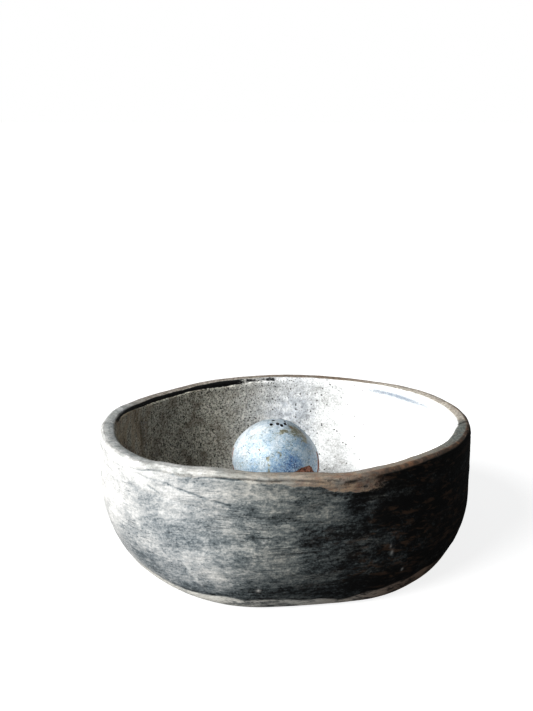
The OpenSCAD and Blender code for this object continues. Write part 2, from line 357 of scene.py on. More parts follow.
def make_mesh(name, co, faces, masks, sharp=None, uv=None):
    me = bpy.data.meshes.new(name)
    co = np.asarray(co, np.float32)
    faces = [np.asarray(f, np.int32) for f in faces]
    loops = np.concatenate([f.ravel() for f in faces])
    sizes = np.concatenate([np.full(len(f), f.shape[1], np.int32) for f in faces])
    starts = np.concatenate([[0], np.cumsum(sizes)[:-1]]).astype(np.int32)
    me.vertices.add(len(co))
    me.vertices.foreach_set("co", co.ravel())
    me.loops.add(len(loops))
    me.loops.foreach_set("vertex_index", loops)
    me.polygons.add(len(sizes))
    me.polygons.foreach_set("loop_start", starts)
    me.update(calc_edges=True)
    me.polygons.foreach_set("use_smooth", np.ones(len(sizes), bool))
    for k, v in masks.items():
        at = me.attributes.new(k, "FLOAT", "POINT")
        at.data.foreach_set("value", np.asarray(v, np.float32).ravel())
    if sharp is not None:
        e = np.zeros(len(me.edges) * 2, np.int32)
        me.edges.foreach_get("vertices", e)
        me.edges.foreach_set("use_edge_sharp", sharp(e.reshape(-1, 2)))
    me.update()
    me.validate()
    ob = bpy.data.objects.new(name, me)
    scene.collection.objects.link(ob)
    return ob


def swept(name, R, Z, sharp_rows, masks):
    """R and Z are (N, M): a closed section of M points at each of the N directions."""
    n, m = R.shape
    aa = A[:, None]
    co = np.stack([R * cosd(aa) - MIDX, R * sind(aa) - MIDY, Z], -1).reshape(-1, 3) / 1000
    i, j = np.meshgrid(np.arange(n), np.arange(m), indexing="ij")
    i2, j2 = (i + 1) % n, (j + 1) % m
    quads = np.stack([i * m + j, i2 * m + j, i2 * m + j2, i * m + j2], -1).reshape(-1, 4)
    rows = np.zeros(m, bool)
    rows[list(sharp_rows)] = True

    def sharp(e):
        j0, j1 = e[:, 0] % m, e[:, 1] % m
        return (j0 == j1) & rows[j0]
    full = {k: np.broadcast_to(masks.get(k, np.zeros((n, m))), (n, m)) for k in MASKS}
    return make_mesh(name, co, [quads], full, sharp)


def joined(parts):
    """Puts the masks of neighbouring runs of rows side by side."""
    out = {}
    for k in MASKS:
        out[k] = np.concatenate([np.broadcast_to(p[1].get(k, 0.0), p[0].shape) for p in parts], 1)
    return out


aa = A[:, None]


def rows_between(lo, hi, count, ends=(True, True)):
    t = np.linspace(0, 1, count)[None, :]
    if not ends[0]:
        t = t[:, 1:]
    if not ends[1]:
        t = t[:, :-1]
    return lo[:, None] + (hi - lo)[:, None] * t


def with_lean(m, a, z):
    m = dict(m)
    m["lean"] = slant(a, z)
    return m


# lower wall strip ---------------------------------------------------------
zo = rows_between(np.full(N, BASE), seam_z(A), 50)
zi = rows_between(seam_z(A), np.full(N, BASE + CORNER), 34)
zh = rows_between(np.full(N, BASE + CORNER), np.full(N, BASE), 4, (False, True))
R = np.concatenate([outer(aa, zo), inner(aa, zi), out_r(aa, zh) - WALL], 1)
Z = np.concatenate([zo, zi, zh], 1)
m = joined([(zo, with_lean(out_masks(aa, zo), aa, zo)), (zi, with_lean(in_masks(aa, zi), aa, zi)),
            (zh, with_lean(in_masks(aa, zh), aa, zh))])
k0, k1 = zo.shape[1], zo.shape[1] + zi.shape[1]
lower_wall = swept("lower_wall_clay", R, Z, [0, k0 - 1, k0, k1 - 1, R.shape[1] - 1], m)

# upper wall strip ---------------------------------------------------------
zo = rows_between(seam_z(A), coil_z(A), 22)
zi = rows_between(coil_z(A), seam_z(A), 22)
R = np.concatenate([outer(aa, zo), inner(aa, zi)], 1)
Z = np.concatenate([zo, zi], 1)
m = joined([(zo, with_lean(out_masks(aa, zo), aa, zo)), (zi, with_lean(in_masks(aa, zi), aa, zi))])
k0 = zo.shape[1]
upper_wall = swept("upper_wall_clay", R, Z, [0, k0 - 1, k0, R.shape[1] - 1], m)

# rim coil -----------------------------------------------------------------
z1 = rim_z(A)
ro = plan_r(A)
ri = ro - WALL - overhang(A)
# the top is pinched rounder than the construction section, but stays inside it
keys = []
eo, ei = 2.0, 1.9
keys.append((ro, coil_z(A)))
keys.append((ro, z1 - eo))
for t in (15, 30, 45, 60, 75, 90):
    keys.append((ro - eo + eo * cosd(t), z1 - eo + eo * sind(t)))
keys.append((0.5 * (ro - eo + ri + ei), z1 + 0 * ro))
for t in (90, 112, 135, 157, 180):
    keys.append((ri + ei + ei * cosd(t), z1 - 0.25 - ei + ei * sind(t)))
end_r = out_r(A, coil_z(A)) - WALL - fillet(A, coil_z(A))
keys.append((ri + 0.15 * (end_r - ri), coil_z(A) + 1.7))
keys.append((ri + 0.5 * (end_r - ri), coil_z(A) + 0.8))
keys.append((end_r, coil_z(A)))
KR = np.stack([k[0] for k in keys], 1)
KZ = np.stack([k[1] for k in keys], 1)
seg = np.hypot(np.diff(KR, axis=1), np.diff(KZ, axis=1))
s = np.concatenate([np.zeros((N, 1)), np.cumsum(seg, 1)], 1)
way = s[:, -1:]
s = s / way
M = 56
t = np.linspace(0, 1, M)
R0, Z0 = np.zeros((N, M)), np.zeros((N, M))
for i in range(N):
    R0[i] = np.interp(t, s[i], KR[i])
    Z0[i] = np.interp(t, s[i], KZ[i])
for _ in range(1):                         # rounds the corners of the section
    R0[:, 1:-1] = 0.25 * R0[:, :-2] + 0.5 * R0[:, 1:-1] + 0.25 * R0[:, 2:]
    Z0[:, 1:-1] = 0.25 * Z0[:, :-2] + 0.5 * Z0[:, 1:-1] + 0.25 * Z0[:, 2:]
tr, tz = np.gradient(R0, axis=1), np.gradient(Z0, axis=1)
ln = np.hypot(tr, tz)
nr, nz = tz / ln, -tr / ln
T = np.broadcast_to(t[None, :], (N, M))
side = smooth(T, 0.42, 0.28)               # 1 on the outer side
inn = smooth(T, 0.66, 0.86)                # 1 on the inner side
edge = np.maximum(smooth(T, 0.07, 0.0), smooth(T, 0.94, 1.0))
nr = nr * (1 - edge) + np.where(T < 0.5, 1.0, -1.0) * edge
nz = nz * (1 - edge)
x, y = xyz(aa, R0)
top_d = -0.02 + 0.12 * layered(x / 9, y / 9, Z0 / 9, 83, 2) + 0.10 * layered(x / 3.4, y / 3.4, Z0 / 3.4, 87, 2)
# the ends of the coil overlap in a slanting joint at the right
lap = ((aa - 359 + 180) % 360 - 180) * 1.297 + 1.1 * (plan_r(aa) - R0) - 3.2
top_d = top_d - 0.30 * np.exp(-(lap / 0.55) ** 2) - 0.22 * smooth(lap, 0.3, -0.3) * smooth(lap, -9, -1)
D = side * out_relief(aa, Z0, R0) + inn * in_relief(aa, Z0, R0) + np.clip(1 - side - inn, 0, 1) * top_d
D = D - side * (0.25 * np.exp(-(lap / 0.6) ** 2))
# groove under the rim's inner edge, where the coil was not smoothed down
g_below = rim_z(aa) - Z0
g_at = eased(GROOVE_AT, aa) + 0.25 * noise(aa / 4.0, 0 * aa, 0 * aa, 151)
g_cut = eased(GROOVE_ON, aa) * np.exp(-((g_below - g_at) / 0.62) ** 2) * smooth(T, 0.59, 0.64)
D = D - 1.15 * g_cut
D[:, 0] = out_relief(A, coil_z(A), out_r(A, coil_z(A)))
D[:, -1] = in_relief(A, coil_z(A), out_r(A, coil_z(A)) - WALL)
R, Z = R0 + nr * D, Z0 + nz * D
Z = np.minimum(Z, 54.45)
rim_out, rim_in = out_masks(aa, Z0), in_masks(aa, Z0)
x, y = xyz(aa, R0)
wavy = 0.016 * layered(x / 6, y / 6, Z0 / 6, 97, 3)
inside_from = eased([(0, 0.60), (20, 0.64), (60, 0.63), (90, 0.60), (104, 0.585), (115, 0.59), (150, 0.60), (175, 0.645), (200, 0.68),
                     (240, 0.66), (300, 0.66), (330, 0.68), (345, 0.66), (360, 0.60)], aa)
inside = smooth(T + 1.5 * wavy, inside_from - 0.02, inside_from + 0.032)
m = {k: rim_out[k] * (1 - inside) + rim_in.get(k, 0) * inside for k in rim_out}
m["smudge"] = rim_in["smudge"] * inside
m["inside"] = inside
m["band"] = (rim_out["band"] + (1 - rim_out["band"]) * smooth(T, 0.24, 0.36)) * (1 - inside)
ink_from = eased([(0, 0.62), (90, 0.62), (98, 0.59), (110, 0.605), (125, 0.612), (150, 0.612), (166, 0.625), (180, 0.645), (360, 0.62)], aa)
ink = np.where(T < 0.45, rim_out["ink"], rim_in["ink"] * smooth(T + wavy, ink_from - 0.03, ink_from + 0.03))
ink = np.maximum(ink, 0.9 * np.exp(-(lap / 0.5) ** 2) * smooth(T, 0.7, 0.6))
m["ink"] = np.clip(ink, 0, 1)
m["lean"] = slant(aa, coil_z(aa) + T * way)
top_from = eased([(0, 0.22), (60, 0.22), (180, 0.30), (240, 0.22), (285, 0.20), (300, 0.215), (315, 0.235), (330, 0.26), (345, 0.29), (352, 0.27),
                  (360, 0.22)], aa)
m["topside"] = smooth(T + 0.6 * wavy, top_from, top_from + 0.06) * (1 - inside)
moss_az = eased([(0, 0.75), (4, 0.2), (8, 0), (300, 0), (318, 0.2), (330, 0.75), (340, 1), (356, 1), (360, 0.75)], aa)
m["moss"] = moss_az * smooth(T + 1.6 * wavy, 0.33, 0.40) * (1 - inside)
m["upper"] = smooth(T + 1.2 * wavy, 0.36, 0.48) * (1 - inside)
m["chip_and_glint"] = 0 * T
rim = swept("rim_coil_clay", R, Z, [0, M - 1], m)

# coil smoothed into the inner corner ---------------------------------------
zt = BASE + CORNER
top_r = inner(A, np.full(N, zt)) - 0.03
rf = out_r(A, np.full(N, BASE)) - WALL - CORNER


def floor_relief(x, y):
    d = 0.16 * layered(x / 20, y / 20, 0 * x, 61, 2) + 0.05 * noise(x / 6, y / 6, 0 * x, 63) - 0.12
    away = smooth(np.hypot(x - BALL_C[0], y - BALL_C[1]), 6.5, 15)
    return np.minimum(d, 0) * away


def floor_at(a, r):
    return floor_relief(r * cosd(a) - MIDX, r * sind(a) - MIDY)


tt = np.linspace(0, 90, 36)[None, :]
zb = BASE + 0.05
rw = top_r[:, None]
Ra = rf[:, None] + (rw - rf[:, None]) * cosd(tt)
Za = zt - (zt - zb) * sind(tt)
fade = sind(2 * tt)
x, y = xyz(aa, Ra)
dd = (0.30 * layered(x / 15, y / 15, Za / 9, 53, 2) + 0.12 * layered(x / 6, y / 6, Za / 4, 55, 2)) * fade
Ra, Za = Ra - dd * cosd(tt), Za + dd * sind(tt)
Za = Za + floor_at(aa, Ra) * smooth(tt, 40, 90)
hid_z = rows_between(np.full(N, BASE), np.full(N, zt), 4)
hid_r = out_r(aa, hid_z) - WALL
R = np.concatenate([hid_r, Ra, rf[:, None]], 1)
Z = np.concatenate([hid_z, Za, np.full((N, 1), BASE) + floor_at(aa, rf[:, None]) - 0.02], 1)
m = joined([(hid_z, with_lean(in_masks(aa, hid_z), aa, hid_z)), (Za, with_lean(in_masks(aa, Za), aa, Za)),
            (rf[:, None], with_lean(in_masks(aa, np.full((N, 1), BASE)), aa, np.full((N, 1), BASE)))])
k0, k1 = hid_z.shape[1], hid_z.shape[1] + Za.shape[1]
corner = swept("inner_corner_clay", R, Z, [0, k0 - 1, k0, k1 - 1, k1], m)

# base slab ----------------------------------------------------------------
side_z = np.concatenate([1.4 * np.linspace(0, 1, 7) ** 1.5, np.linspace(1.4, BASE, 9)[1:]])[None, :] + 0 * aa
edge_in = np.where(side_z < 1.4, 1.4 * np.clip(1 - side_z / 1.4, 0, 1) ** 1.6, 0)
rs = outer(aa, side_z) - edge_in
fr = np.linspace(0, 1, 34)[1:]
under_r = rs[:, :1] * fr[None, :-1]                     # from the middle out
x, y = xyz(aa, under_r)
under_z = 0.10 + 0.09 * layered(x / 14, y / 14, 0 * x, 101, 2) + 0.05 * noise(x / 3, y / 3, 0 * x, 103)
under_z = np.maximum(under_z, 0.0) * smooth(under_r, rs[:, :1] - 1, rs[:, :1] - 5)
top_rr = np.concatenate([rs[:, -1:], (rf + 1.0)[:, None], rf[:, None] * np.linspace(1, 0, 40)[None, :-1]], 1)
top_z = BASE + floor_at(aa, top_rr)
top_z[:, :1] = BASE
RR = np.concatenate([under_r, rs, top_rr[:, 1:]], 1)
ZZ = np.concatenate([under_z, side_z, top_z[:, 1:]], 1)
n_u, n_s, n_t = under_r.shape[1], rs.shape[1], top_rr.shape[1] - 1
mu = out_masks(aa, under_z)
mu["foot"] = np.ones_like(under_z) * 0.55
mu["ink"] = np.zeros_like(under_z)
mu["wash_and_shade"] = 0.42 + 0 * under_z
mt = in_masks(aa, top_z[:, 1:])
m = joined([(under_z, with_lean(mu, aa, under_z + under_r * 0.3)), (side_z, with_lean(out_masks(aa, side_z), aa, side_z)),
            (top_z[:, 1:], with_lean(mt, aa, top_z[:, 1:]))])
W = RR.shape[1]
co = np.stack([RR * cosd(aa) - MIDX, RR * sind(aa) - MIDY, ZZ], -1).reshape(-1, 3)
cen_u = np.array([[-MIDX, -MIDY, 0.08]])
cen_t = np.array([[-MIDX, -MIDY, BASE + float(floor_relief(np.array([-MIDX]), np.array([-MIDY]))[0])]])
co = np.concatenate([co, cen_u, cen_t]) / 1000
i, j = np.meshgrid(np.arange(N), np.arange(W - 1), indexing="ij")
i2 = (i + 1) % N
quads = np.stack([i * W + j, i2 * W + j, i2 * W + j + 1, i * W + j + 1], -1).reshape(-1, 4)
ii = np.arange(N)
fan_u = np.stack([((ii + 1) % N) * W, ii * W, np.full(N, N * W)], -1)
fan_t = np.stack([ii * W + W - 1, ((ii + 1) % N) * W + W - 1, np.full(N, N * W + 1)], -1)
full = {k: np.concatenate([m[k].ravel(), [m[k][0, 0], m[k][0, -1]]]) for k in MASKS}
sharp_r = np.zeros(W + 1, bool)
sharp_r[[n_u + n_s - 1, n_u + n_s]] = True


def sharp(e):
    ok = (e < N * W).all(1)
    j0, j1 = e[:, 0] % W, e[:, 1] % W
    return ok & (j0 == j1) & sharp_r[j0]


base = make_mesh("base_slab_clay", co, [quads, fan_u, fan_t], full, sharp)


# --------------------------------------------------------------------------
# The loose ball
# --------------------------------------------------------------------------
def unit(polar, az):
    polar, az = np.broadcast_arrays(np.asarray(polar, float), np.asarray(az, float))
    return np.stack([sind(polar) * cosd(az), sind(polar) * sind(az), cosd(polar)], -1)


def toward(v, polar, az, w):
    """1 in that direction, falling off over w degrees."""
    d = np.degrees(np.arccos(np.clip(v @ unit(polar, az), -1, 1)))
    return np.exp(-(d / w) ** 2)


def path_on_ball(v, pts, w):
    best = np.zeros(v.shape[:-1])
    for (p0, a0), (p1, a1) in zip(pts[:-1], pts[1:]):
        for f in np.linspace(0, 1, 7):
            u = unit(p0, a0) * (1 - f) + unit(p1, a1) * f
            u = u / np.linalg.norm(u)
            d = np.degrees(np.arccos(np.clip(v @ u, -1, 1)))
            best = np.maximum(best, np.exp(-(d / w) ** 2))
    return best


def pin_dist(v, p):
    """mm from a pin hole's middle; the pin went in at a slant, so its mouth is a little oval."""
    d = (v - unit(*p)) * BALL_R
    far = np.where((v @ unit(*p)) > 0.8, 0.0, 50.0)
    return np.sqrt(d[..., 0] ** 2 + (0.66 * d[..., 1]) ** 2 + (0.66 * d[..., 2]) ** 2) + far


def ball_masks(v):
    n1 = layered(v[..., 0] * 4, v[..., 1] * 4, v[..., 2] * 4, 201, 3)
    n2 = layered(v[..., 0] * 10, v[..., 1] * 10, v[..., 2] * 10, 211, 2)
    pol = np.degrees(np.arccos(np.clip(v[..., 2], -1, 1)))
    az = np.degrees(np.arctan2(v[..., 1], v[..., 0]))
    # clay left bare: the foot of the ball, a patch in front at the right, thin runs at the sides
    foot_edge = 116 + 9 * n1 + 4 * n2
    bare = smooth(pol, foot_edge - 1.2, foot_edge + 1.2)
    top = eased([(0, 125), (240, 125), (262, 108), (280, 92), (292, 85.3), (300, 83.0), (308, 80.8), (320, 80.6),
                 (324, 84), (329, 91), (338, 112), (350, 125), (360, 125)], az) + 0.9 * n2
    front = smooth(pol, top - 0.45, top + 0.6)
    bare = np.maximum(bare, front)
    right = np.maximum(path_on_ball(v, [(74, -9), (80, -10), (87, -11)], 3.4), path_on_ball(v, [(86, -11), (94, -12), (104, -14), (116, -16)], 6.4))
    left = path_on_ball(v, [(70, -173), (74, -172), (78, -171)], 3.4)
    bare = np.maximum(bare, smooth(np.maximum(right, left) + 0.12 * n2, 0.40, 0.60))
    tongue = eased([(0, 130), (142, 130), (158, 112), (172, 96), (182, 86), (190, 83.5), (197, 88), (204, 93.5), (211, 97),
                    (220, 108), (232, 130), (360, 130)], az) + 2.2 * n2 + 1.5 * n1
    bare = np.maximum(bare, smooth(pol, tongue - 0.8, tongue + 0.9))
    olive = 0.62 * toward(v, 28, -27, 11) + 0.4 * toward(v, 38, -34, 9) + 0.65 * path_on_ball(v, [(27, -22), (34, -18), (42, -14), (50, -22)], 5.5)
    olive = olive + 0.5 * path_on_ball(v, [(26, -60), (29, -75)], 4.5) + 0.45 * toward(v, 36, -52, 5) + 0.45 * toward(v, 49, -24, 6)
    olive = olive + 0.62 * path_on_ball(v, [(66, -101), (71, -99), (78, -98), (85, -98)], 2.2)
    olive = olive + 0.55 * path_on_ball(v, [(66, -99), (60, -96), (57, -89), (59, -82), (64, -82), (68, -88)], 2.0)
    olive = olive + 0.5 * path_on_ball(v, [(30, -92), (31, -80), (29, -70)], 3.2) + 0.42 * path_on_ball(v, [(44, -128), (39, -120), (36, -112)], 2.0)
    olive = olive + 0.4 * path_on_ball(v, [(52, -44), (48, -36), (51, -28)], 2.4) + 0.4 * path_on_ball(v, [(42, -62), (46, -56), (43, -48)], 2.0)
    olive = olive + 0.45 * toward(v, 75, -122, 2.2) + 0.4 * toward(v, 49, -83, 2.6) + 0.45 * toward(v, 43, -73, 2.2)
    olive = olive + 0.7 * toward(v, 56, -115, 2.4) + 0.3 * toward(v, 62, -114, 3.5)
    olive = olive + 0.4 * toward(v, 60, 60, 9) + 0.5 * path_on_ball(v, [(40, 120), (58, 128), (80, 122)], 3.0)
    rust = 0.9 * toward(v, 25, -30, 3.0) + 0.9 * toward(v, 56, -115, 1.3) + 0.9 * toward(v, 33, -12, 1.6)
    rust = rust + 0.8 * path_on_ball(v, [(36, -3), (42, -4), (46, -6)], 1.5) + 0.5 * toward(v, 47, -20, 2)
    for p in PINS:
        rust = rust + 0.62 * toward(v, p[0], p[1], 3.0)
    deep = 1.25 * toward(v, 75, -66, 14) + 0.6 * toward(v, 83, -90, 12) + 0.5 * toward(v, 88, -120, 12) + 0.4 * toward(v, 84, -20, 12)
    deep = deep + 0.45 * toward(v, 55, -30, 16)
    deep = deep + 0.7 * toward(v, 80, 90, 22)
    # paler on the upper left: pale glaze, and painted light where the key light falls
    pale_and_lit = toward(v, 50, -165, 42) + 0.7 * toward(v, 12, -110, 22) + 0.6 * toward(v, 60, 170, 30)
    # painted shade inside the pin holes
    pin_hole_shade = np.zeros(pol.shape)
    for p in PINS:
        pin_hole_shade = np.maximum(pin_hole_shade, smooth(pin_dist(v, p), 0.84, 0.64))
    return {"bare": bare, "olive": np.clip(olive * (0.75 + 0.5 * n2), 0, 1), "rust": np.clip(rust, 0, 1),
            "deep": np.clip(deep, 0, 1.3), "pale_and_lit": np.clip(pale_and_lit, 0, 1.2), "pin_hole_shade": pin_hole_shade}


def ball_radius(v, masks):
    r = np.full(v.shape[:-1], BALL_R + 0.02)
    r = r - 1.05 * toward(v, 47, 2, 20) + 0.55 * toward(v, 66, -176, 22) - 0.55 * toward(v, 100, 178, 14)
    r = r - 0.5 * toward(v, 50, 100, 24) - 0.35 * toward(v, 62, -60, 16) + 0.1 * toward(v, 95, 0, 15)
    x, y, z = v[..., 0], v[..., 1], v[..., 2]
    r = r + 0.13 * layered(x * 2.6, y * 2.6, z * 2.6, 221, 2) + 0.045 * layered(x * 11, y * 11, z * 11, 227, 2)
    r = r - 0.24 * masks["bare"]
    for k, p in enumerate(PINS):
        d = pin_dist(v, p)
        w = 0.64 + 0.07 * math.sin(3.1 * k)
        r = r + 0.10 * np.exp(-((d - w - 0.25) / 0.22) ** 2) - (3.2 + 0.5 * math.cos(2.3 * k)) * smooth(d, w + 0.09, w - 0.13)
    return np.minimum(r, BALL_R + 0.6)


BN = 448
ba = np.arange(BN) * 360.0 / BN
up = np.concatenate([np.linspace(0.35, 26, 76), np.linspace(26, 90, 108)[1:]])
dn = np.linspace(90, 180 - 0.8, 112)


def half_ball(name, pol, upper):
    v = unit(pol[None, :], ba[:, None])
    ms = ball_masks(v)
    r = ball_radius(v, ms)
    p = v * r[..., None] + BALL_C
    p[..., 2] = np.maximum(p[..., 2], BASE)
    pole = unit(np.array([0.0 if upper else 180.0]), np.array([0.0]))
    mp = ball_masks(pole)
    pp = pole * ball_radius(pole, mp)[:, None] + BALL_C
    pp[:, 2] = np.maximum(pp[:, 2], BASE)
    m = len(pol)
    co = np.concatenate([p.reshape(-1, 3), pp, BALL_C[None, :]]) / 1000
    i, j = np.meshgrid(np.arange(BN), np.arange(m - 1), indexing="ij")
    i2 = (i + 1) % BN
    quads = np.stack([i * m + j, i * m + j + 1, i2 * m + j + 1, i2 * m + j], -1).reshape(-1, 4)
    ii = np.arange(BN)
    nx = (ii + 1) % BN
    if upper:
        cap = np.stack([ii * m, nx * m, np.full(BN, BN * m)], -1)[:, ::1]
        cut = np.stack([nx * m + m - 1, ii * m + m - 1, np.full(BN, BN * m + 1)], -1)
        rim_row = m - 1
    else:
        cap = np.stack([nx * m + m - 1, ii * m + m - 1, np.full(BN, BN * m)], -1)
        cut = np.stack([ii * m, nx * m, np.full(BN, BN * m + 1)], -1)
        rim_row = 0
    full = {k: np.concatenate([ms[k].ravel(), mp[k].ravel(), [0.0]]) for k in ms}

    def sharp(e):
        ok = (e < BN * m).all(1)
        return ok & (e[:, 0] % m == rim_row) & (e[:, 1] % m == rim_row)
    return make_mesh(name, co, [quads, cap, cut], full, sharp)


ball_up = half_ball("ball_upper_clay", up, True)
ball_low = half_ball("ball_lower_clay", dn, False)


# --------------------------------------------------------------------------
# Finishes
# --------------------------------------------------------------------------
class Net:
    """Short words for building a material's nodes."""

    def __init__(self, name):
        self.mat = bpy.data.materials.new(name)
        self.mat.use_nodes = True
        self.t = self.mat.node_tree
        self.t.nodes.clear()

    def node(self, kind, ins=None, **attrs):
        nd = self.t.nodes.new(kind)
        for k, v in attrs.items():
            setattr(nd, k, v)
        for k, v in (ins or {}).items():
            self.put(nd.inputs[k], v)
        return nd

    def put(self, sock, v):
        if isinstance(v, bpy.types.NodeSocket):
            self.t.links.new(v, sock)
        else:
            if sock.type == "RGBA" and len(v) == 3:
                v = (*v, 1.0)
            sock.default_value = v

    def math(self, op, a, b=0.0, c=0.0, clamp=False):
        return self.node("ShaderNodeMath", {0: a, 1: b, 2: c}, operation=op, use_clamp=clamp).outputs[0]

    def add(self, *vs):
        out = vs[0]
        for v in vs[1:]:
            out = self.math("ADD", out, v)
        return out

    def mul(self, a, b):
        return self.math("MULTIPLY", a, b)

    def mix(self, f, a, b, blend="MIX"):
        nd = self.node("ShaderNodeMix", data_type="RGBA", blend_type=blend, clamp_factor=True)
        self.put(nd.inputs[0], f)
        self.put(nd.inputs[6], a)
        self.put(nd.inputs[7], b)
        return nd.outputs[2]

    def mixf(self, f, a, b):
        nd = self.node("ShaderNodeMix", data_type="FLOAT", clamp_factor=True)
        self.put(nd.inputs[0], f)
        self.put(nd.inputs[2], a)
        self.put(nd.inputs[3], b)
        return nd.outputs[0]

    def span(self, v, a, b, c=0.0, d=1.0, kind="SMOOTHSTEP"):
        return self.node("ShaderNodeMapRange", {0: v, 1: a, 2: b, 3: c, 4: d}, interpolation_type=kind).outputs[0]

    def attr(self, name):
        return self.node("ShaderNodeAttribute", attribute_name=name, attribute_type="GEOMETRY").outputs["Fac"]

    def mm(self):
        c = self.node("ShaderNodeTexCoord").outputs["Object"]
        nd = self.node("ShaderNodeVectorMath", operation="SCALE")
        self.put(nd.inputs[0], c)
        nd.inputs["Scale"].default_value = 1000.0
        return nd.outputs[0]

    def split(self, v):
        return self.node("ShaderNodeSeparateXYZ", {0: v}).outputs

    def join(self, x, y, z):
        return self.node("ShaderNodeCombineXYZ", {0: x, 1: y, 2: z}).outputs[0]

    def noise(self, v, scale=1.0, detail=2.0, rough=0.5, dist=0.0):
        return self.node("ShaderNodeTexNoise", {"Vector": v, "Scale": scale, "Detail": detail,
                                                "Roughness": rough, "Distortion": dist}).outputs["Fac"]

    def cells(self, v, scale, rand=1.0):
        nd = self.node("ShaderNodeTexVoronoi", {"Vector": v, "Scale": scale, "Randomness": rand},
                       feature="F1")
        return nd.outputs["Distance"], nd.outputs["Color"]

    def ramp(self, f, stops):
        nd = self.node("ShaderNodeValToRGB", {0: f})
        el = nd.color_ramp.elements
        while len(el) > 1:
            el.remove(el[-1])
        el[0].position, el[0].color = stops[0][0], (*stops[0][1], 1)
        for p, c in stops[1:]:
            e = el.new(p)
            e.color = (*c, 1)
        return nd.outputs[0]

    def finish(self, color, rough, height, dist, **fixed):
        b = self.node("ShaderNodeBsdfPrincipled")
        self.put(b.inputs["Base Color"], color)
        self.put(b.inputs["Roughness"], rough)
        for k, v in fixed.items():
            self.put(b.inputs[k.replace("_", " ")], v)
        bump = self.node("ShaderNodeBump", {"Height": height, "Strength": 1.0, "Distance": dist})
        self.put(b.inputs["Normal"], bump.outputs[0])
        out = self.node("ShaderNodeOutputMaterial")
        self.t.links.new(b.outputs[0], out.inputs[0])
        return self.mat


